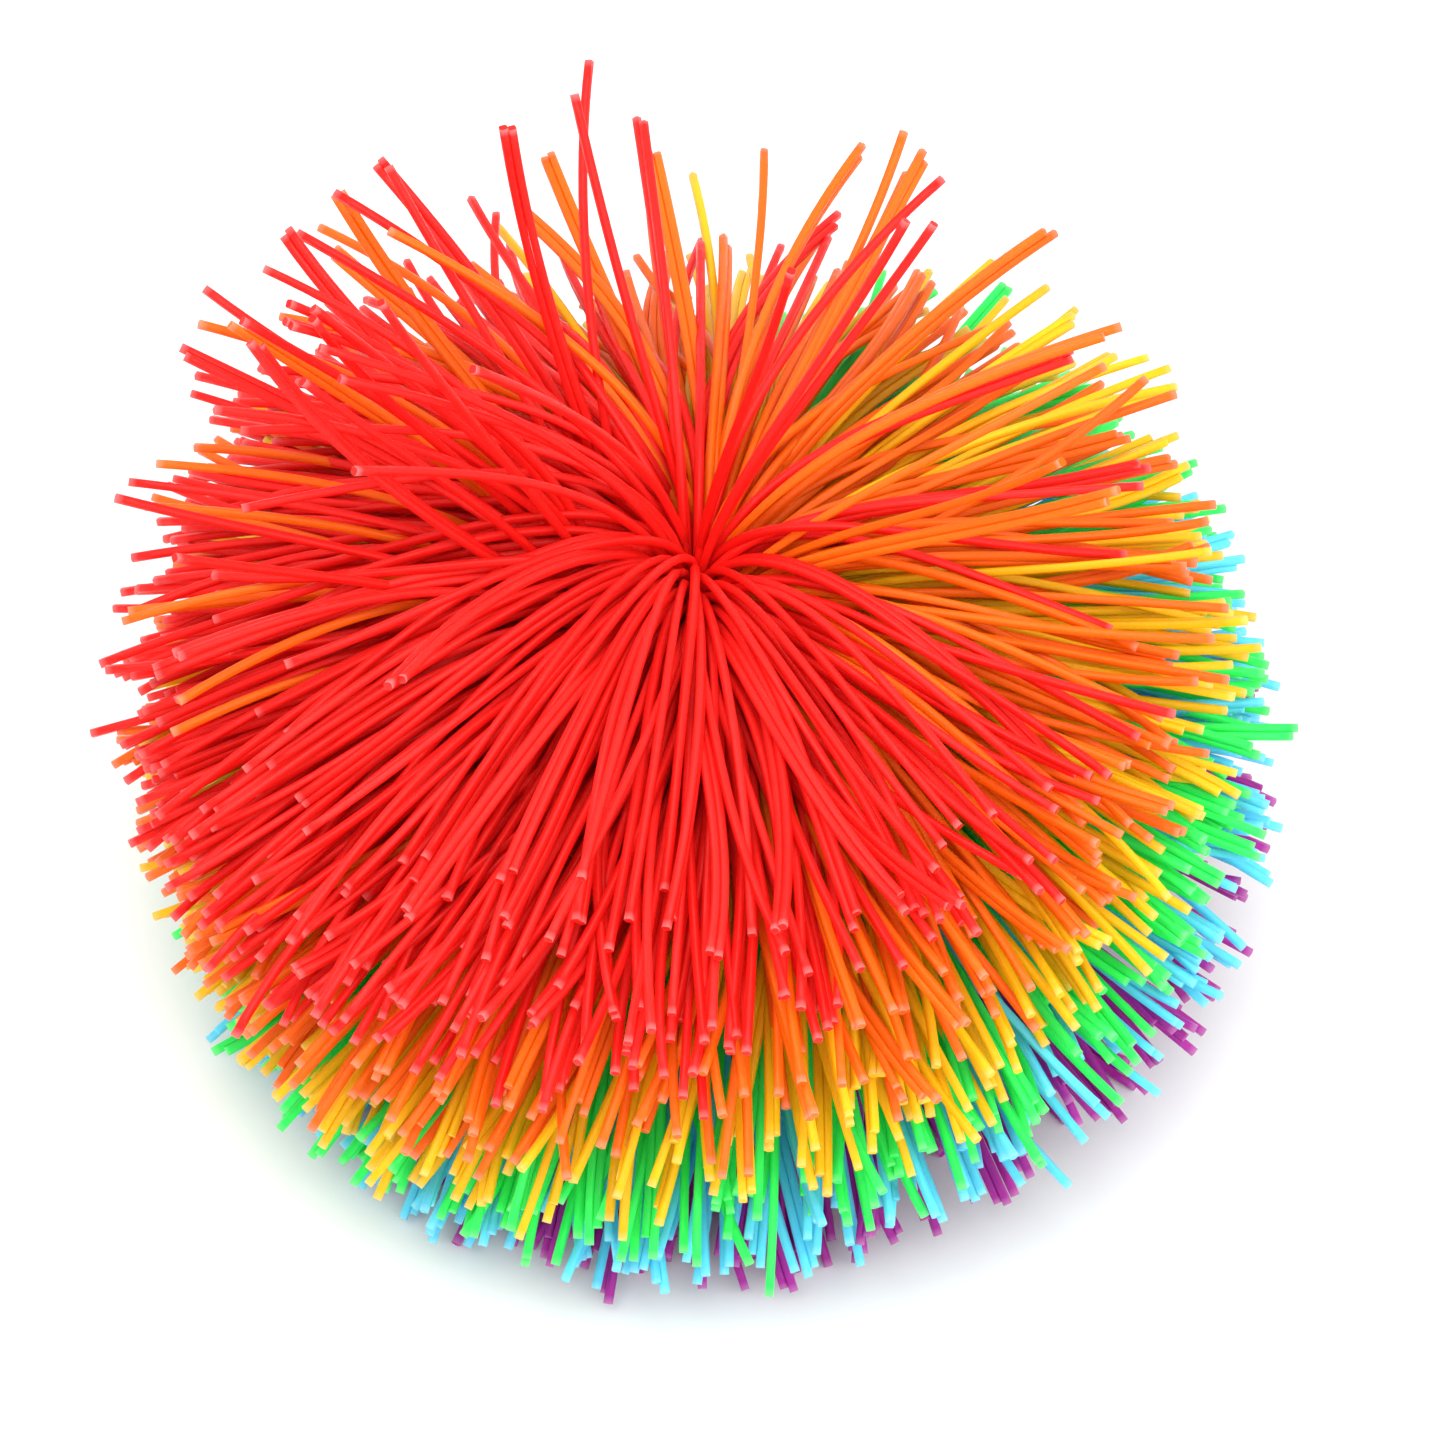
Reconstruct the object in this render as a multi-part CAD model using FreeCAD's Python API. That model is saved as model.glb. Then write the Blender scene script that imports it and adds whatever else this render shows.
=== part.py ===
"""Rubber string ball: a bundle of coloured rubber filaments, bound round its middle by a cable tie.

Six layers of filaments lie on each other in the tie, red on top and purple underneath.
Outside the tie they burst open on both sides into tufts, and the tufts together make the ball.
A waist is the middle of one layer, gripped by the tie. A tuft is one lock of that layer's ends.
Each tuft is a plain closed solid with the outer shape of its filaments.

Ball frame: X runs through the tie, Z across the layers, and the origin is the middle of the tie.
Row frame: millimetres, Z up, the ball lying on Z = 0 with its layers leaning to the left (-X).
"""

import FreeCAD
import Part

import math
import os

from FreeCAD import Placement, Rotation, Vector

# Size of the ball
BALL_RADIUS = 46.0
CENTRE_HEIGHT = 28.0  # the lowest filaments give way, so it is far less than the radius
LAYER_LEAN_DEG = 27.0  # the stack of layers leans to the left

# Middle of the ball
WAIST_RADIUS = 11.0
NECK_RADIUS = 7.6  # the bundle under the strap
NECK_HALF_LENGTH = 1.6
FLARE_HALF_LENGTH = 5.5

# Tufts
TUFT_ROOT_RADIUS = 12.0
TUFTS_PER_HALF = 4
SIDE_CLEARANCE = 2.0  # from a tuft's flank to the plane between it and the next tuft
ROOT_CLEARANCE_DEG = 1.5  # from a tuft to the next layer, at the root
TIP_CLEARANCE_DEG = 2.3  # the same, at the tips
CROWN_SHARE = 0.93  # the filaments round the whorl droop, so they reach this share of the radius
HALVES = {"left": (180.0, 0.0), "right": (0.0, 27.0)}  # heading of the half, and its twist

# Where each layer begins, as degrees from the top of the ball: at the root, and at the tips
LAYER_LIMITS = [(14, 32), (50, 76), (69, 90), (83, 100), (97, 110), (116, 121), (160, 160)]
LAYERS = ["red", "orange", "yellow", "green", "blue", "purple"]
DROOP_SHARE = 0.35  # how far a filament has turned from root to tip angle at half its length

# Cable tie
STRAP_THICKNESS = 1.1
STRAP_WIDTH = 2.5
STRAP_GAP = 0.05
HEAD_WIDTH = 4.6
HEAD_LENGTH = 5.0
HEAD_HEIGHT = 3.0
SLOT_CLEARANCE = 0.15
TAIL_LENGTH = 2.0
TOOTH_COUNT = 30
TOOTH_DEPTH = 0.3
TOOTH_WIDTH = 0.5

AXIS_X, AXIS_Y, AXIS_Z = Vector(1, 0, 0), Vector(0, 1, 0), Vector(0, 0, 1)
ORIGIN = Vector(0, 0, 0)


def ball_placement():
    """From the ball frame to the row frame."""
    return Placement(Vector(0, 0, CENTRE_HEIGHT), Rotation(AXIS_Y, -LAYER_LEAN_DEG))


def half_placement(half):
    """From a half's own frame, where its layers stand upright, to the row frame."""
    twist = HALVES[half][1]
    return ball_placement().multiply(Placement(ORIGIN, Rotation(AXIS_X, twist)))


def placed(shape, placement):
    """A copy of a shape, moved from the frame it was made in."""
    moved = shape.copy()
    moved.Placement = placement.multiply(moved.Placement)
    return moved


def heading(half, number):
    """The direction of a tuft round the top of the ball, in degrees from the ball frame's X."""
    step = 180.0 / TUFTS_PER_HALF
    return HALVES[half][0] + step * (number - (TUFTS_PER_HALF - 1) / 2)


def polar(radius, degrees):
    """A point in the XZ plane, at an angle from the top of the ball."""
    angle = math.radians(degrees)
    return Vector(radius * math.sin(angle), 0, radius * math.cos(angle))


def layer_edges(layer):
    """The upper and lower limit of a layer's tufts: degrees at root, at half length and at tip."""
    edges = []
    for limit, side in ((LAYER_LIMITS[layer], 1), (LAYER_LIMITS[layer + 1], -1)):
        root = limit[0] + side * ROOT_CLEARANCE_DEG
        tip = limit[1] + side * TIP_CLEARANCE_DEG
        edges.append((root, root + DROOP_SHARE * (tip - root), tip))
    return edges


def tuft_shape(layer):
    """One tuft of a layer, with its middle above the X axis, in its half's frame."""
    upper, lower = layer_edges(layer)
    tip_radius = BALL_RADIUS * (CROWN_SHARE if layer == 0 else 1.0)
    half_way = (TUFT_ROOT_RADIUS + BALL_RADIUS) / 2
    root_top, root_bottom = polar(TUFT_ROOT_RADIUS, upper[0]), polar(TUFT_ROOT_RADIUS, lower[0])
    tip_top, tip_bottom = polar(tip_radius, upper[2]), polar(BALL_RADIUS, lower[2])
    root_middle = polar(TUFT_ROOT_RADIUS, (upper[0] + lower[0]) / 2)
    tip_middle = polar(BALL_RADIUS, (upper[2] + lower[2]) / 2)
    outline = [
        Part.Arc(root_top, polar(half_way, upper[1]), tip_top),
        Part.Arc(tip_top, tip_middle, tip_bottom),
        Part.Arc(tip_bottom, polar(half_way, lower[1]), root_bottom),
        Part.Arc(root_bottom, root_middle, root_top),
    ]
    face = Part.Face(Part.Wire([curve.toShape() for curve in outline]))
    half_turn = 90.0 / TUFTS_PER_HALF
    face.rotate(ORIGIN, AXIS_Z, -half_turn)
    ring_piece = face.revolve(ORIGIN, AXIS_Z, 2 * half_turn)
    return ring_piece.common(flank_prism(half_turn))


def flank_prism(half_turn):
    """An upright wedge whose flanks stand clear of the planes at half_turn either side of X."""
    spread = math.radians(half_turn)
    tip = SIDE_CLEARANCE / math.sin(spread)
    reach = 2 * BALL_RADIUS
    side = reach * math.tan(spread)
    corners = [
        Vector(tip, 0, -reach),
        Vector(tip + reach, -side, -reach),
        Vector(tip + reach, side, -reach),
    ]
    return Part.Face(Part.makePolygon(corners + corners[:1])).extrude(Vector(0, 0, 2 * reach))


def table_space():
    """Everything above the surface that the ball lies on."""
    side = 4 * BALL_RADIUS
    return Part.makeBox(side, side, side, Vector(-side / 2, -side / 2, 0))


def tufts():
    """Every tuft by name, in the row frame."""
    above = table_space()
    made = {}
    for layer, colour in enumerate(LAYERS):
        shape = tuft_shape(layer)
        for half in HALVES:
            for number in range(TUFTS_PER_HALF):
                turn = Placement(ORIGIN, Rotation(AXIS_Z, heading(half, number)))
                tuft = placed(shape, half_placement(half).multiply(turn))
                if tuft.BoundBox.ZMin < 0:
                    tuft = tuft.common(above)
                made[f"{colour}_tuft_{half}_{number + 1}"] = tuft
    return made


def hinge(layer, half, number):
    """Where a tuft bends out of the bundle: a point and an axis in the row frame.

    A positive turn about the axis lowers the tuft away from the top of the ball.
    """
    upper, lower = layer_edges(layer)
    turn = Rotation(AXIS_Z, heading(half, number))
    place = half_placement(half)
    point = turn.multVec(polar(TUFT_ROOT_RADIUS, (upper[0] + lower[0]) / 2))
    return place.multVec(point), place.Rotation.multVec(turn.multVec(AXIS_Y))


def bundle():
    """The middle of the whole bundle: a ball of filaments, waisted where the tie grips it."""
    flare_radius = math.sqrt(WAIST_RADIUS**2 - FLARE_HALF_LENGTH**2)
    end = Vector(WAIST_RADIUS, 0, 0)
    flare = Vector(FLARE_HALF_LENGTH, 0, flare_radius)
    neck = Vector(NECK_HALF_LENGTH, 0, NECK_RADIUS)
    bend = math.radians(30)
    on_ball = Vector(WAIST_RADIUS * math.cos(bend), 0, WAIST_RADIUS * math.sin(bend))

    def mirrored(point):
        return Vector(-point.x, point.y, point.z)

    edges = [
        Part.Arc(end, on_ball, flare).toShape(),
        Part.LineSegment(flare, neck).toShape(),
        Part.LineSegment(neck, mirrored(neck)).toShape(),
        Part.LineSegment(mirrored(neck), mirrored(flare)).toShape(),
        Part.Arc(mirrored(flare), mirrored(on_ball), mirrored(end)).toShape(),
        Part.LineSegment(mirrored(end), end).toShape(),
    ]
    return Part.Face(Part.Wire(edges)).revolve(ORIGIN, AXIS_X, 360)


def slice_limits():
    """The planes between the layers at the neck, which share its round section equally."""

    def area_above(height):
        return math.acos(height) - height * math.sqrt(1 - height * height)

    limits = [WAIST_RADIUS]
    for n in range(1, len(LAYERS)):
        wanted = math.pi * n / len(LAYERS)
        low, high = -1.0, 1.0
        while high - low > 1e-6:
            middle = (low + high) / 2
            low, high = (middle, high) if area_above(middle) > wanted else (low, middle)
        limits.append(NECK_RADIUS * low)
    return limits + [-WAIST_RADIUS]


def waists():
    """The gripped middle of each layer, in the row frame."""
    whole = bundle()
    limits = slice_limits()
    side = 4 * WAIST_RADIUS
    made = {}
    for colour, top, bottom in zip(LAYERS, limits, limits[1:]):
        slab = Part.makeBox(side, side, top - bottom, Vector(-side / 2, -side / 2, bottom))
        waist = whole.common(slab)
        made[f"{colour}_waist"] = placed(waist, ball_placement())
    return made


def cable_tie():
    """Strap, toothed inside, with its head under the bundle and the trimmed tail through it."""
    inner = NECK_RADIUS + STRAP_GAP
    outer = inner + STRAP_THICKNESS
    foot = Vector(-STRAP_WIDTH / 2, 0, 0)
    strap = Part.makeCylinder(outer, STRAP_WIDTH, foot, AXIS_X)
    strap = strap.cut(Part.makeCylinder(inner, STRAP_WIDTH, foot, AXIS_X))
    for n in range(TOOTH_COUNT):
        groove = Part.makeBox(
            STRAP_WIDTH * 0.7,
            TOOTH_WIDTH,
            2 * TOOTH_DEPTH,
            Vector(-STRAP_WIDTH * 0.35, -TOOTH_WIDTH / 2, inner - TOOTH_DEPTH),
        )
        groove.rotate(ORIGIN, AXIS_X, -120 + 240 * n / (TOOTH_COUNT - 1))
        strap = strap.cut(groove)

    head_top = -(inner + 0.4)
    head = Part.makeBox(
        HEAD_WIDTH,
        HEAD_LENGTH,
        HEAD_HEIGHT,
        Vector(-HEAD_WIDTH / 2, -HEAD_LENGTH / 2, head_top - HEAD_HEIGHT),
    )
    head = head.makeFillet(0.5, [e for e in head.Edges if abs(e.BoundBox.ZLength - HEAD_HEIGHT) < 0.01])
    head = head.cut(Part.makeCylinder(inner, HEAD_WIDTH, Vector(-HEAD_WIDTH / 2, 0, 0), AXIS_X))
    slot_height = STRAP_THICKNESS + 2 * SLOT_CLEARANCE
    slot_top = -(outer + 0.1)
    slot = Part.makeBox(
        STRAP_WIDTH + 2 * SLOT_CLEARANCE,
        HEAD_LENGTH + 1,
        slot_height,
        Vector(-STRAP_WIDTH / 2 - SLOT_CLEARANCE, -HEAD_LENGTH / 2 - 0.5, slot_top - slot_height),
    )
    tail_run = HEAD_LENGTH / 2 + TAIL_LENGTH
    tail = Part.makeBox(
        STRAP_WIDTH,
        tail_run + HEAD_LENGTH / 2 - 1,
        STRAP_THICKNESS,
        Vector(-STRAP_WIDTH / 2, -(HEAD_LENGTH / 2 - 1), slot_top - SLOT_CLEARANCE - STRAP_THICKNESS),
    )
    pawl = Part.makeBox(
        STRAP_WIDTH * 0.6,
        1.2,
        slot_height,
        Vector(-STRAP_WIDTH * 0.3, -0.6, slot_top - slot_height),
    )
    tie = strap.fuse([head.cut(slot), tail, pawl]).removeSplitter()
    return placed(tie, ball_placement())


def main():
    os.makedirs("parts", exist_ok=True)
    pieces = {"cable_tie": cable_tie(), **waists(), **tufts()}
    for name, shape in pieces.items():
        shape.exportStep(f"parts/{name}.step")
        print(name, len(shape.Solids), shape.isValid(), round(shape.Volume, 1))
    whole = Part.makeCompound(list(pieces.values())).BoundBox
    print("box", [round(v, 3) for v in (whole.XMin, whole.XMax, whole.YMin, whole.YMax, whole.ZMin, whole.ZMax)])


if __name__ == "__main__":
    main()
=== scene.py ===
import math

import bpy
import numpy as np
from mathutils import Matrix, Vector


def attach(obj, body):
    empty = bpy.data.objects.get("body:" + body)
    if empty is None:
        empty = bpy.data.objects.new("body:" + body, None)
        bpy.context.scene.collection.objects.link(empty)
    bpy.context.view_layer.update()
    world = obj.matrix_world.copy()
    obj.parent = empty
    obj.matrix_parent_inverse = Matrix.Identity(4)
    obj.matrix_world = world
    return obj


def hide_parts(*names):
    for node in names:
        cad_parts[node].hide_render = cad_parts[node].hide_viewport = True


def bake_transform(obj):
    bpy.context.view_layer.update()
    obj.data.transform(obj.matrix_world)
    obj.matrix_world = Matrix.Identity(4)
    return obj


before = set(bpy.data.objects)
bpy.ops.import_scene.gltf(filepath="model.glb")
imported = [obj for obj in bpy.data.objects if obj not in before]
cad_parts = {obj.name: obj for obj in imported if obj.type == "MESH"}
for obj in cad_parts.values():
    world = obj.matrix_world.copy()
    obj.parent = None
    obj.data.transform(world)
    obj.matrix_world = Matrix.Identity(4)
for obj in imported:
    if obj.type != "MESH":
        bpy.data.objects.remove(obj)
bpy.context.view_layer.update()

# ---------------------------------------------------------------- facts of the object, SI units
LAYERS = ["red", "orange", "yellow", "green", "blue", "purple"]  # from the top down
HALVES = ["left", "right"]  # of the cable tie
TUFTS_PER_HALF = 4  # in each layer
CENTRE = np.array([0.0, 0.0, 0.0280])  # the middle of the cable tie
LEAN = math.radians(27)  # the stack of layers leans to -X
TWIST = {"left": 0.0, "right": math.radians(24)}  # of each half about the bundle
FILAMENTS = 1000
SHARES = [0.19, 0.16, 0.16, 0.165, 0.165, 0.16]  # of the filaments in each layer
TWIN_SHARES = np.array([0.25, 0.4, 0.5, 0.5, 0.5, 0.45])  # with a second one stuck alongside
FILAMENT_WIDTH = 0.00066  # across the flats
CORNER = 0.62  # half the length of a flat, in half widths
HALF_LENGTH = 0.0457  # from the plane of the tie to a free end
LENGTH_SPREAD = 0.02
ROOT = 0.0024  # the free ends start at this distance from the plane of the tie
NECK = 0.0071  # radius of the bundle there
NECK_SPREAD = 0.012  # by which a filament is off its place in the bundle, in radii of the neck
OPEN_ANGLE = math.radians(90)  # from the bundle to its outermost filaments, where they leave it
WAY_SPREAD = 0.09
EI = 0.052e-6  # bending stiffness of one filament, N m2
WEIGHT = 9.0e-3  # of one filament, N/m
WEIGHT_RANGE = (0.75, 1.25)
CURL = 7.0  # scale of the curvature at rest, 1/m

# ---------------------------------------------------------------- how they are made to fall
SEED = 7
NODES = 18  # of each free end
HELD_NODES = 2  # of those, in the grip of the tie
STEPS = 160
DAMPING = 0.96
K_STRETCH = 1.5
INERTIA = 0.1
TOUCH = 0.0012  # nodes of two filaments keep this far apart
TOUCH_LIMIT = 0.6  # of that, the most that a node moves in a step
PUSH_GAIN = 3.0
FLOOR_SHARE = 0.6  # of the steps, over which the floor comes up to the ball
LOWEST_NODE = 0.62  # in filament widths above the floor
REST_AXIS = [-0.23, -0.04, 1.0]  # the ball slumps about this way, so its left is low
REST_ANGLES = [76, 86, 96, 103, 110, 116, 126, 175]  # from that axis, at the ranks of REST_RANKS
REST_RANKS = np.concatenate([[0], np.cumsum(SHARES)[:-1], [0.97, 1.0]])
RANK_SPREAD = 0.03
REST_ARCH = 30.0  # degrees by which the rest angle is smaller at the root
REST_GAIN = 0.5
REST_LIMIT = 0.3  # radians past the rest angle, beyond which the push grows no more
LIVELY_SHARE = 0.17  # of the filaments stand up more than the others
LIVELY_LIFT = 34.0  # degrees off their rest angle
LIVELY_LIGHT = 0.75  # of their weight is taken off
LIVELY_FRONT = -0.2  # filaments that leave the bundle more to the front than this are never lively

# ---------------------------------------------------------------- how they are drawn
RINGS = 24  # of a free end's tube
WAIST_RINGS = 9
GRIPPED = 0.75  # width of a tube at its root, where the grip of the tie makes it thinner
GRIPPED_LENGTH = 1 / 6  # of the tube
WAIST_THIN, WAIST_FLARE = 0.5, 0.25  # width in the middle of the tie, and what its edges add
CUT_UNEVEN = 0.9  # of a ring's length, the most by which a twin is shorter
START_TURN = 6.28  # radians, the most that a tube is turned at its root
TUBE_TWIST = 3.0  # radians, between the most to one side and to the other
RIM = 0.6  # the flat middle of a cut end, in widths
RIM_PLACE = 0.5  # of the "place" attribute there, which is 1 at the edge of the cut end
TWIN_SHIFT = 2.04  # in half widths


# ---------------------------------------------------------------- where every filament starts
rng = np.random.default_rng(SEED)


def unit(v):
    return v / np.maximum(np.linalg.norm(v, axis=-1, keepdims=True), 1e-12)


def rotation(axis, angle):
    c, s = math.cos(angle), math.sin(angle)
    if axis == "x":
        return np.array([[1, 0, 0], [0, c, -s], [0, s, c]])
    return np.array([[c, 0, s], [0, 1, 0], [-s, 0, c]])


BALL = rotation("y", -LEAN)


def bundle():
    """Places in the neck's unit disc, evenly spread, with the layer and the rank of each.

    The rank runs from 0 for the topmost filament to 1 for the lowest.
    """
    n = np.arange(FILAMENTS) + 0.5
    rho = np.sqrt(n / FILAMENTS)
    phi = n * math.pi * (3 - math.sqrt(5))
    rho = np.clip(rho + rng.normal(0, NECK_SPREAD, FILAMENTS), 0.01, 1)
    disc = np.stack([rho * np.cos(phi), rho * np.sin(phi)], axis=1)
    order = np.argsort(-(disc[:, 1] + rng.normal(0, NECK_SPREAD, FILAMENTS)))
    layer = np.empty(FILAMENTS, int)
    ends = np.cumsum(SHARES)[:-1] * FILAMENTS
    layer[order] = np.searchsorted(ends, np.arange(FILAMENTS), "right")
    rank = np.empty(FILAMENTS)
    rank[order] = (np.arange(FILAMENTS) + 0.5) / FILAMENTS
    return disc, layer, rank


def directions(disc, half):
    """The way each filament leaves the bundle, in its half's own frame, evenly over the cap."""
    rho = np.linalg.norm(disc, axis=1)
    theta = np.arccos(1 - rho**2 * (1 - math.cos(OPEN_ANGLE)))
    around = disc / rho[:, None]
    side = -1.0 if half == "left" else 1.0
    across = np.sin(theta)
    return np.stack([side * np.cos(theta), across * around[:, 0], across * around[:, 1]], axis=1)


def tuft_of(own, half):
    """The tuft of each filament: they are numbered by heading round the top, as in the CAD."""
    heading = np.degrees(np.arctan2(own[:, 1], abs(own[:, 0])))
    turn = heading if half == "right" else -heading
    return np.clip(((turn + 90) / 180 * TUFTS_PER_HALF).astype(int), 0, TUFTS_PER_HALF - 1)


disc, layer_of, rank_of = bundle()
roots, ways, tufts = [], [], []
for half in HALVES:
    own = directions(disc, half)
    tufts.append(tuft_of(own, half))
    spread = BALL @ rotation("x", TWIST[half])
    ways.append(unit(own + rng.normal(0, WAY_SPREAD, own.shape)) @ spread.T)
    side = np.full(FILAMENTS, -ROOT if half == "left" else ROOT)
    roots.append(np.column_stack([side, disc * NECK]) @ BALL.T + CENTRE)
roots, ways, tufts = np.concatenate(roots), np.concatenate(ways), np.concatenate(tufts)
filament = np.tile(np.arange(FILAMENTS), 2)
halves = np.repeat([0, 1], FILAMENTS)
layers, ranks = layer_of[filament], rank_of[filament]
COUNT = len(ways)


# ---------------------------------------------------------------- how they fall
def relax(steps):
    """Lets the filaments bend under their weight, on each other and on the table.

    Projective dynamics: one small matrix, the same for every filament, is solved at every step.
    """
    lengths = HALF_LENGTH * (1 + rng.normal(0, LENGTH_SPREAD, COUNT)) - ROOT
    step = float(lengths.mean()) / (NODES - 1)
    scale = (lengths / lengths.mean())[:, None, None]
    x = roots[:, None] + ways[:, None] * (step * np.arange(NODES)[None, :, None] * scale)
    curl = unit(np.cross(ways, rng.normal(0, 1, (COUNT, 3))))
    curl = curl * np.minimum(rng.gamma(2.0, CURL, (COUNT, 1)), 3 * CURL) * step**2

    difference = np.eye(NODES, k=1)[:-1] - np.eye(NODES)[:-1]
    second = difference[1:, 1:] @ difference
    k_bend = EI / step**3
    f = slice(HELD_NODES, NODES)
    base = K_STRETCH * difference.T @ difference + k_bend * second.T @ second
    solve = np.linalg.inv(base[f, f] + INERTIA * np.eye(NODES - HELD_NODES))
    held = base[f, :HELD_NODES]

    lively = ((rng.random(COUNT) < LIVELY_SHARE) & (ways[:, 1] > LIVELY_FRONT)).astype(float)
    rest = np.interp(ranks + rng.normal(0, RANK_SPREAD, COUNT), REST_RANKS, REST_ANGLES)
    rest = rest - LIVELY_LIFT * lively * (1 - ranks) ** 2
    run = np.linspace(0, 1, NODES)[None]
    rest = np.radians(rest[:, None] - REST_ARCH * (1 - ranks[:, None]) * (1 - run))
    share = rng.uniform(*WEIGHT_RANGE, COUNT) * (1 - LIVELY_LIGHT * lively * (1 - ranks))
    load = np.zeros((COUNT, NODES, 3))
    load[:, :, 2] = -WEIGHT * step * share[:, None]

    speed = np.zeros_like(x)
    for n in range(steps):
        want = unit(np.diff(x, axis=1)) * (step * scale)
        guess = x + DAMPING * speed
        floor_at = -(HALF_LENGTH - CENTRE[2]) * max(0, 1 - n / (steps * FLOOR_SHARE))
        push = touch(guess, floor_at) + hold_up(guess, rest)
        rhs = (
            K_STRETCH * np.einsum("sn,csx->cnx", difference, want)
            + k_bend * np.einsum("bn,cbx->cnx", second, np.repeat(curl[:, None], NODES - 2, axis=1))
            + load
            + INERTIA * (guess + PUSH_GAIN * push)
        )[:, f]
        rhs -= np.einsum("fh,chx->cfx", held, x[:, :HELD_NODES])
        new = np.einsum("fg,cgx->cfx", solve, rhs)
        speed[:, f] = new - x[:, f]
        x[:, f] = new
    x[:, :, 2] = np.maximum(x[:, :, 2], LOWEST_NODE * FILAMENT_WIDTH)
    return x


def hold_up(x, rest):
    """The push of the filaments below: none falls past its angle from the axis of the slump."""
    axis = unit(np.array(REST_AXIS))
    out = x - CENTRE
    far = np.linalg.norm(out, axis=2)
    along = out @ axis
    across = unit(out - along[..., None] * axis)
    angle = np.arccos(np.clip(along / np.maximum(far, 1e-9), -1, 1))
    over = np.maximum(angle - rest, 0)
    back = np.sin(angle)[..., None] * axis - np.cos(angle)[..., None] * across
    return back * (np.minimum(over, REST_LIMIT) * far * REST_GAIN)[..., None]


def touch(x, floor_at):
    """How far every node has to move so that the filaments clear each other and the floor."""
    mids = (x[:, 1:] + x[:, :-1]) / 2
    pts = np.concatenate([x.reshape(-1, 3), mids.reshape(-1, 3)])
    strand = [np.repeat(np.arange(COUNT), NODES), np.repeat(np.arange(COUNT), NODES - 1)]
    push = repel(pts, np.concatenate(strand), TOUCH)
    at_nodes = push[: COUNT * NODES].reshape(COUNT, NODES, 3)
    at_mids = push[COUNT * NODES :].reshape(COUNT, NODES - 1, 3)
    at_nodes[:, 1:] += at_mids / 2
    at_nodes[:, :-1] += at_mids / 2
    lowest = floor_at + FILAMENT_WIDTH / 2
    at_nodes[:, :, 2] += np.maximum(lowest - x[:, :, 2] - at_nodes[:, :, 2], 0)
    return at_nodes


def repel(pts, strand, near):
    """How far every point has to move so that it is not closer than near to another strand.

    The points are sorted into cubic cells, and each cell is compared with itself and with the
    half of its neighbours that come after it.
    """
    cell = np.floor((pts - pts.min(0)) / near).astype(np.int64) + 1
    size = cell.max(0) + 2
    key = (cell[:, 0] * size[1] + cell[:, 1]) * size[2] + cell[:, 2]
    order = np.argsort(key, kind="stable")
    key_sorted = key[order]
    push = np.zeros_like(pts)
    offsets = [(i, j, k) for i in (-1, 0, 1) for j in (-1, 0, 1) for k in (-1, 0, 1)]
    for off in offsets:
        shift = (off[0] * size[1] + off[1]) * size[2] + off[2]
        if shift < 0:
            continue
        first = np.searchsorted(key_sorted, key_sorted + shift, "left")
        last = np.searchsorted(key_sorted, key_sorted + shift, "right")
        counts = last - first
        a = np.repeat(np.arange(len(pts)), counts)
        start = np.repeat(first - np.concatenate([[0], np.cumsum(counts)[:-1]]), counts)
        b = start + np.arange(len(a))
        if shift == 0:
            keep = b > a
            a, b = a[keep], b[keep]
        a, b = order[a], order[b]
        keep = strand[a] != strand[b]
        a, b = a[keep], b[keep]
        apart = pts[a] - pts[b]
        dist = np.sqrt((apart**2).sum(1))
        keep = dist < near
        a, b, apart, dist = a[keep], b[keep], apart[keep], dist[keep]
        move = apart * ((near - dist) / np.maximum(dist, 1e-7) / 2)[:, None]
        for axis in range(3):
            push[:, axis] += np.bincount(a, move[:, axis], len(pts))
            push[:, axis] -= np.bincount(b, move[:, axis], len(pts))
    most = np.linalg.norm(push, axis=1, keepdims=True)
    return push * np.minimum(1, TOUCH_LIMIT * near / np.maximum(most, 1e-9))


paths = relax(STEPS)


# ---------------------------------------------------------------- meshes
def resample(path, rings):
    """Catmull-Rom through the nodes of every path, at evenly spaced places."""
    before, after = 2 * path[:, :1] - path[:, 1:2], 2 * path[:, -1:] - path[:, -2:-1]
    padded = np.concatenate([before, path, after], axis=1)
    u = np.linspace(0, path.shape[1] - 1, rings)
    i = np.minimum(u.astype(int), path.shape[1] - 2)
    t = (u - i)[None, :, None]
    p0, p1, p2, p3 = (padded[:, i + k] for k in range(4))
    square, cube = 2 * p0 - 5 * p1 + 4 * p2 - p3, 3 * p1 - p0 - 3 * p2 + p3
    return 0.5 * (2 * p1 + (p2 - p0) * t + square * t**2 + cube * t**3)


SECTION = np.array(
    [
        [1, -CORNER], [1, CORNER], [CORNER, 1], [-CORNER, 1],
        [-1, CORNER], [-1, -CORNER], [-CORNER, -1], [CORNER, -1],
    ]
)
SIDES = len(SECTION)


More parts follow.
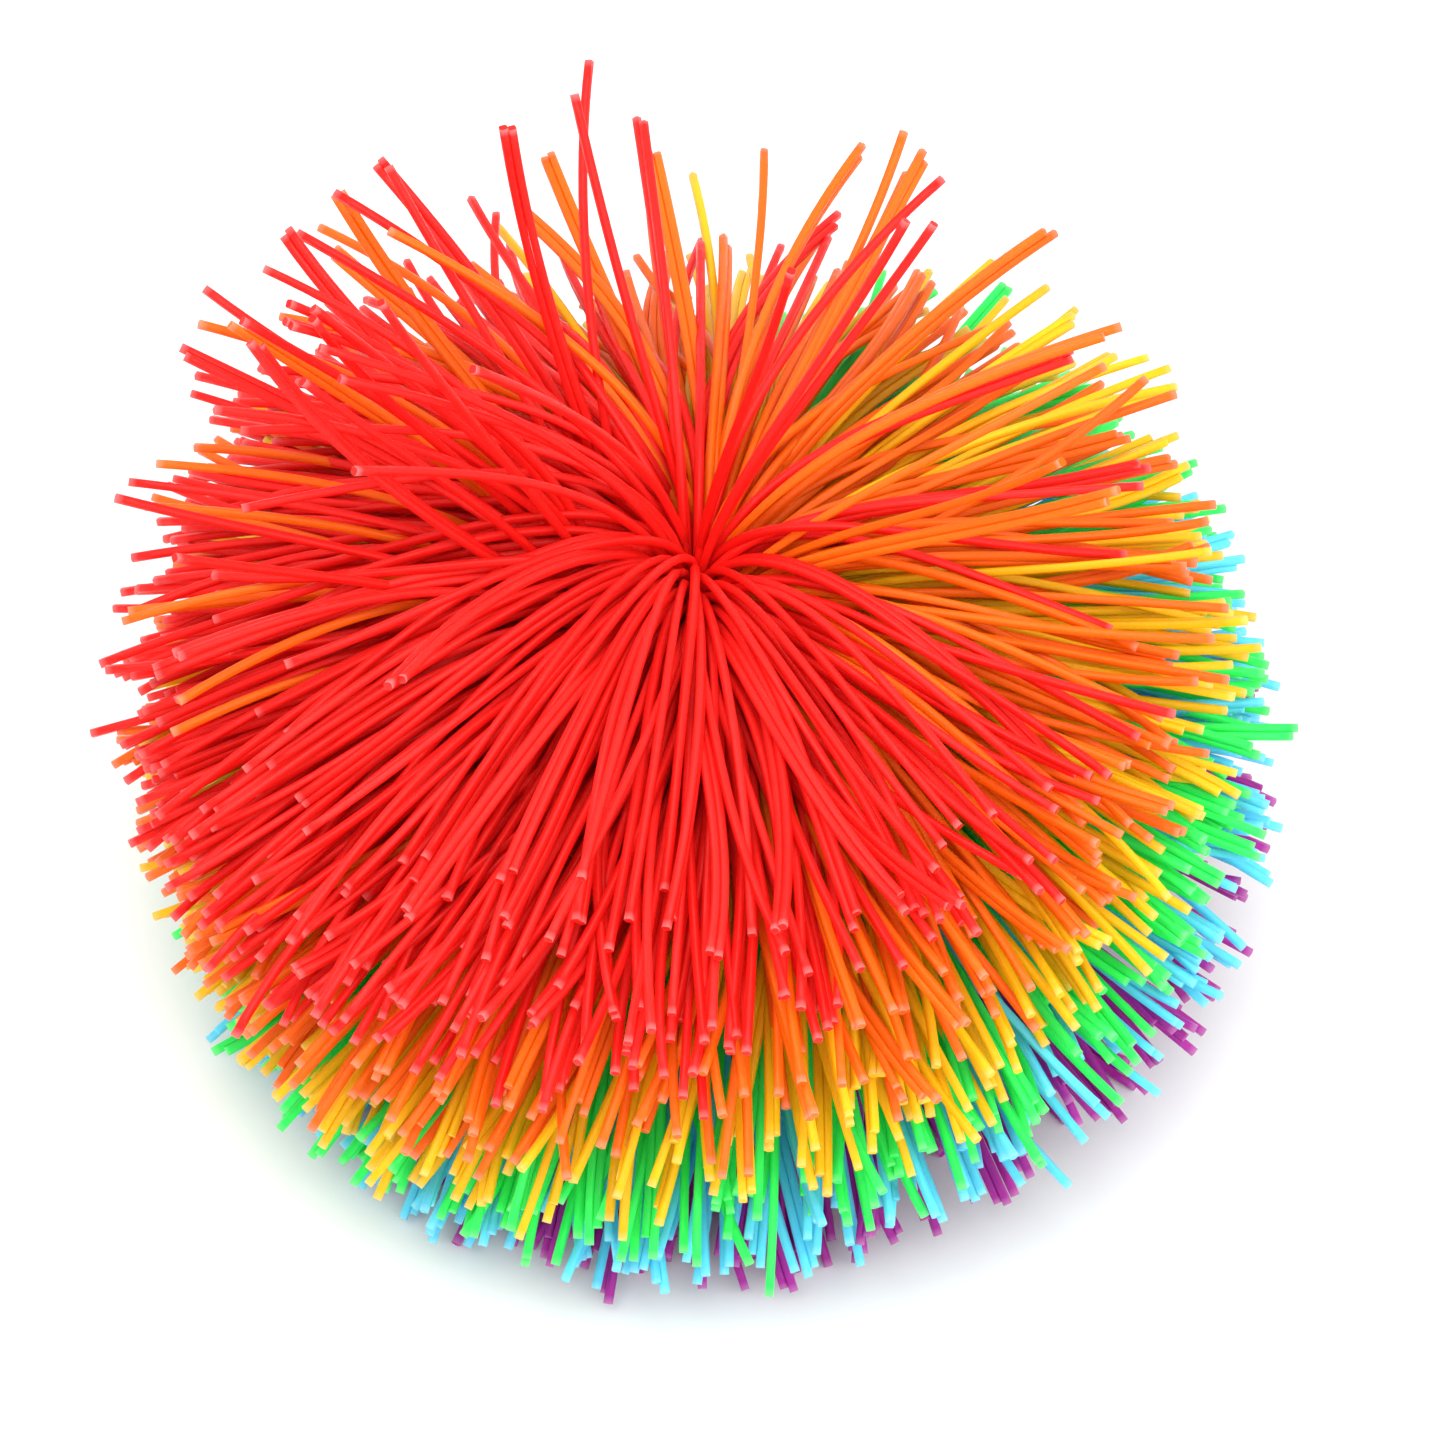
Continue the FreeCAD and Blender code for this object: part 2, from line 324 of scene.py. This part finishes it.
def tubes(name, path, width, seeds, shift):
    """One mesh of tubes of rounded square section along every path.

    Each has a narrower last ring and a cap on its far end. width is (paths, rings). seeds are each
    tube's own turn, twist and tone, from 0 to 1. shift moves a tube sideways, in its own widths, so
    that twins lie flat together.
    """
    count, rings = path.shape[:2]
    along = unit(np.gradient(path, axis=1))
    side = np.empty_like(path)
    any_way = np.where(abs(along[:, 0, 2:3]) < 0.8, [[0, 0, 1.0]], [[1.0, 0, 0]])
    side[:, 0] = unit(np.cross(along[:, 0], any_way))
    for k in range(1, rings):
        last = side[:, k - 1]
        side[:, k] = unit(last - along[:, k] * (last * along[:, k]).sum(1, keepdims=True))
    up = np.cross(along, side)
    twist = (seeds[:, 1:2] - 0.5) * TUBE_TWIST
    turn = seeds[:, :1] * START_TURN + twist * np.linspace(0, 1, rings)[None]
    place = np.append(np.linspace(0, 1, rings), RIM_PLACE)
    rim = np.append(np.ones(rings), RIM)
    per_ring = (path, side, up, turn, width / 2)
    path, side, up, turn, half_w = (np.concatenate([v, v[:, -1:]], axis=1) for v in per_ring)
    rings += 1

    local_x = SECTION[None, None, :, 0] * rim[None, :, None] + TWIN_SHIFT * shift[:, None, None]
    local_y = SECTION[None, None, :, 1] * rim[None, :, None]
    cos, sin = np.cos(turn)[..., None], np.sin(turn)[..., None]
    cx = (local_x * cos - local_y * sin) * half_w[..., None]
    cy = (local_x * sin + local_y * cos) * half_w[..., None]
    verts = path[:, :, None] + side[:, :, None] * cx[..., None] + up[:, :, None] * cy[..., None]
    below = np.maximum(0, -verts[..., 2].min(axis=2, keepdims=True))
    verts[..., 2] += below  # none goes through the table
    verts = verts.reshape(-1, 3)

    ring = np.arange(rings - 1)[:, None] * SIDES
    corner = np.arange(SIDES)
    a = (ring + corner[None]).ravel()
    b = (ring + (corner[None] + 1) % SIDES).ravel()
    quads = np.stack([a, b, b + SIDES, a + SIDES], axis=1)
    start = (np.arange(count) * rings * SIDES)[:, None, None]
    quads = (quads[None] + start).reshape(-1, 4)
    caps = np.stack([corner[::-1], corner + (rings - 1) * SIDES])[None] + start
    caps = caps.reshape(-1, SIDES)

    mesh = bpy.data.meshes.new(name)
    mesh.vertices.add(len(verts))
    mesh.vertices.foreach_set("co", verts.astype(np.float32).ravel())
    mesh.loops.add(quads.size + caps.size)
    corners = np.concatenate([quads.ravel(), caps.ravel()])
    mesh.loops.foreach_set("vertex_index", corners.astype(np.int32))
    mesh.polygons.add(len(quads) + len(caps))
    starts = [np.arange(len(quads)) * 4, quads.size + np.arange(len(caps)) * SIDES]
    mesh.polygons.foreach_set("loop_start", np.concatenate(starts).astype(np.int32))
    on_side = np.tile(np.repeat(np.arange(rings - 1) < rings - 2, SIDES), count)
    mesh.polygons.foreach_set("use_smooth", np.append(on_side, np.zeros(len(caps), bool)))
    tones = np.repeat(seeds[:, 2], rings * SIDES)
    places = np.tile(np.repeat(place, SIDES), count)
    for label, values in (("tone", tones), ("place", places)):
        data = mesh.attributes.new(label, "FLOAT", "POINT").data
        data.foreach_set("value", values.astype(np.float32))
    mesh.update()
    mesh.validate()
    made = bpy.data.objects.new(name, mesh)
    bpy.context.scene.collection.objects.link(made)
    return made


# ---------------------------------------------------------------- materials
def material(name):
    """A new material, with its nodes, its links and its shader."""
    mat = bpy.data.materials.new(name)
    mat.use_nodes = True
    nodes = mat.node_tree.nodes
    return mat, nodes, mat.node_tree.links, nodes["Principled BSDF"]


def mixed(nodes, links, factor, first, second):
    """A mix of two colours, or of two colour sockets, by the factor socket."""
    mix = nodes.new("ShaderNodeMix")
    mix.data_type = "RGBA"
    mix.blend_type = "MIX"
    links.new(factor, mix.inputs["Factor"])
    for value, socket in ((first, mix.inputs["A"]), (second, mix.inputs["B"])):
        if isinstance(value, tuple):
            socket.default_value = (*value, 1)
        else:
            links.new(value, socket)
    return mix.outputs["Result"]


def attribute(nodes, name):
    node = nodes.new("ShaderNodeAttribute")
    node.attribute_name = name
    return node.outputs["Fac"]


def stepped(nodes, links, value, low, high, to_low, to_high):
    """The value socket, with low to high brought to to_low to to_high."""
    node = nodes.new("ShaderNodeMapRange")
    links.new(value, node.inputs["Value"])
    settings = (("From Min", low), ("From Max", high), ("To Min", to_low), ("To Max", to_high))
    for name, number in settings:
        node.inputs[name].default_value = number
    return node.outputs["Result"]


def noise_of(nodes, links, scale, detail):
    coords = nodes.new("ShaderNodeTexCoord")
    noise = nodes.new("ShaderNodeTexNoise")
    noise.inputs["Scale"].default_value = scale
    noise.inputs["Detail"].default_value = detail
    links.new(coords.outputs["Object"], noise.inputs["Vector"])
    return noise.outputs["Fac"]


def bumpy(nodes, links, shader, height, strength, distance):
    bump = nodes.new("ShaderNodeBump")
    bump.inputs["Strength"].default_value = strength
    bump.inputs["Distance"].default_value = distance
    links.new(height, bump.inputs["Height"])
    links.new(bump.outputs["Normal"], shader.inputs["Normal"])


def rubber(name, colour):
    """Extruded rubber: each filament has its own tone and faint clouds; a painted highlight pales
    the rim of each cut end.
    """
    mat, nodes, links, shader = material(name)
    deep = tuple(c * 0.80 for c in colour)
    bright = tuple(min(1.0, c * 1.04 + 0.004) for c in colour)
    # painted highlight: a whitened copy of the colour, laid on the rim of each cut end
    painted_highlight_colour = tuple(c * 0.8 + 0.2 for c in colour)
    base = mixed(nodes, links, attribute(nodes, "tone"), deep, bright)
    clouds = stepped(nodes, links, noise_of(nodes, links, 260, 3), 0.35, 0.75, 0.0, 0.22)
    base = mixed(nodes, links, clouds, base, deep)
    # painted highlight on the rim of each cut end, where the place attribute nears 1
    painted_rim_highlight = stepped(nodes, links, attribute(nodes, "place"), 0.985, 1.0, 0.0, 0.75)
    base = mixed(nodes, links, painted_rim_highlight, base, painted_highlight_colour)
    links.new(base, shader.inputs["Base Color"])
    gloss = stepped(nodes, links, noise_of(nodes, links, 700, 2), 0.3, 0.7, 0.30, 0.48)
    links.new(gloss, shader.inputs["Roughness"])
    shader.inputs["Specular IOR Level"].default_value = 0.22
    shader.inputs["Subsurface Weight"].default_value = 0.35
    shader.inputs["Subsurface Radius"].default_value = (1.0, 0.5, 0.4)
    shader.inputs["Subsurface Scale"].default_value = 0.001
    bumpy(nodes, links, shader, noise_of(nodes, links, 2600, 2), 0.25, 0.0001)
    return mat


def nylon():
    """Moulded nylon, satin black, with fine grain."""
    mat, nodes, links, shader = material("tie_nylon_look")
    grain = noise_of(nodes, links, 900, 2)
    ramp = nodes.new("ShaderNodeValToRGB")
    ramp.color_ramp.elements[0].color = (0.010, 0.010, 0.011, 1)
    ramp.color_ramp.elements[1].color = (0.022, 0.022, 0.024, 1)
    links.new(grain, ramp.inputs["Fac"])
    links.new(ramp.outputs["Color"], shader.inputs["Base Color"])
    links.new(stepped(nodes, links, grain, 0.3, 0.7, 0.36, 0.52), shader.inputs["Roughness"])
    bumpy(nodes, links, shader, grain, 0.3, 0.00005)
    return mat


COLOURS = {
    "red": (0.95, 0.012, 0.008),
    "orange": (0.98, 0.155, 0.002),
    "yellow": (0.96, 0.55, 0.004),
    "green": (0.03, 0.93, 0.13),
    "blue": (0.12, 0.70, 0.97),
    "purple": (0.40, 0.018, 0.32),
}
mats = {colour: rubber(f"{colour}_rubber_look", COLOURS[colour]) for colour in LAYERS}

# ---------------------------------------------------------------- the tufts
seeds = rng.random((COUNT, 3))
has_twin = rng.random(FILAMENTS) < TWIN_SHARES[layer_of]
twin_tone = rng.random(COUNT)
fine = resample(paths, RINGS)
shorter = fine.copy()
shorter[:, -1] += (fine[:, -2] - fine[:, -1]) * rng.uniform(0, CUT_UNEVEN, (COUNT, 1))
swell = GRIPPED + (1 - GRIPPED) * np.linspace(0, 1 / GRIPPED_LENGTH, RINGS)
swell = np.clip(swell, GRIPPED, 1)


def strands(name, path, twin_path, mine, twinned, width, colour):
    """The tubes of the filaments in mine, and of their twins, in the rubber of one colour."""
    twins = mine[twinned[mine]]
    both = np.concatenate([path[mine], twin_path[twins]])
    look = np.concatenate([seeds[mine], seeds[twins]])
    look[len(mine) :, 2] = twin_tone[twins]
    shift = np.concatenate([np.zeros(len(mine)), np.ones(len(twins))])
    piece = tubes(name, both, np.tile(width, (len(both), 1)), look, shift)
    piece.data.materials.append(mats[colour])
    return piece


for layer, colour in enumerate(LAYERS):
    for h, half in enumerate(HALVES):
        for tuft in range(TUFTS_PER_HALF):
            mine = np.flatnonzero((layers == layer) & (halves == h) & (tufts == tuft))
            node = f"{colour}_tuft_{half}_{tuft + 1}"
            width = FILAMENT_WIDTH * swell
            name = f"{node}_filaments"
            piece = strands(name, fine, shorter, mine, has_twin[filament], width, colour)
            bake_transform(piece)
            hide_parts(node)

# ---------------------------------------------------------------- the gripped middle
left, right = paths[:FILAMENTS, 0], paths[FILAMENTS:, 0]
middle = resample(np.stack([left, (left + right) / 2, right], axis=1), WAIST_RINGS)
thin = WAIST_THIN + WAIST_FLARE * np.linspace(-1, 1, WAIST_RINGS) ** 2
for layer, colour in enumerate(LAYERS):
    mine = np.flatnonzero(layer_of == layer)
    name = f"{colour}_waist_filaments"
    piece = strands(name, middle, middle, mine, has_twin, thin * FILAMENT_WIDTH, colour)
    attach(piece, "bound_middle")
    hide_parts(f"{colour}_waist")

# ---------------------------------------------------------------- the cable tie
for material_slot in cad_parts["cable_tie"].material_slots:
    material_slot.material = nylon()


# ---------------------------------------------------------------- floor, light, camera
def floor():
    bpy.ops.mesh.primitive_plane_add(size=6, location=(0, 0, 0))
    plane = bpy.context.object
    plane.name = "floor"
    mat, _, _, shader = material("floor_paper")
    shader.inputs["Base Color"].default_value = (0.93, 0.93, 0.93, 1)
    shader.inputs["Roughness"].default_value = 0.9
    plane.data.materials.append(mat)


def area_light(name, at, power):
    """A soft round lamp at a place, turned to the middle of the ball."""
    data = bpy.data.lights.new(name, "AREA")
    data.shape = "DISK"
    data.size = 0.9
    data.energy = power
    lamp = bpy.data.objects.new(name, data)
    lamp.location = at
    lamp.rotation_mode = "QUATERNION"
    lamp.rotation_quaternion = (Vector((0, 0, 0.03)) - Vector(at)).to_track_quat("-Z", "Y")
    bpy.context.scene.collection.objects.link(lamp)


floor()
world = bpy.data.worlds.new("studio")
bpy.context.scene.world = world
world.use_nodes = True
background = world.node_tree.nodes["Background"]
background.inputs["Color"].default_value = (1, 1, 1, 1)
background.inputs["Strength"].default_value = 1.0
area_light("key", (-0.12, -0.15, 0.85), 5.0)
area_light("fill", (0.45, -0.50, 0.60), 3.5)
bpy.context.scene.view_settings.view_transform = "Standard"

ELEVATION = math.radians(48)
DISTANCE = 0.50
WIDTH_SEEN = 0.1170  # at the ball
AIM_RIGHT, AIM_DOWN = 0.0022, 0.0049  # from the middle of the tie
SENSOR = 36
cam_data = bpy.data.cameras.new("camera")
camera = bpy.data.objects.new("camera", cam_data)
bpy.context.scene.collection.objects.link(camera)
bpy.context.scene.camera = camera
back = Vector((0, -math.cos(ELEVATION), math.sin(ELEVATION)))
up = Vector((0, math.sin(ELEVATION), math.cos(ELEVATION)))
aim = Vector(CENTRE) + Vector((AIM_RIGHT, 0, 0)) - up * AIM_DOWN
camera.location = aim + back * DISTANCE
camera.rotation_mode = "QUATERNION"
camera.rotation_quaternion = (-back).to_track_quat("-Z", "Y")
cam_data.sensor_width = SENSOR
cam_data.lens = SENSOR * DISTANCE / WIDTH_SEEN
cam_data.clip_start, cam_data.clip_end = 0.01, 20
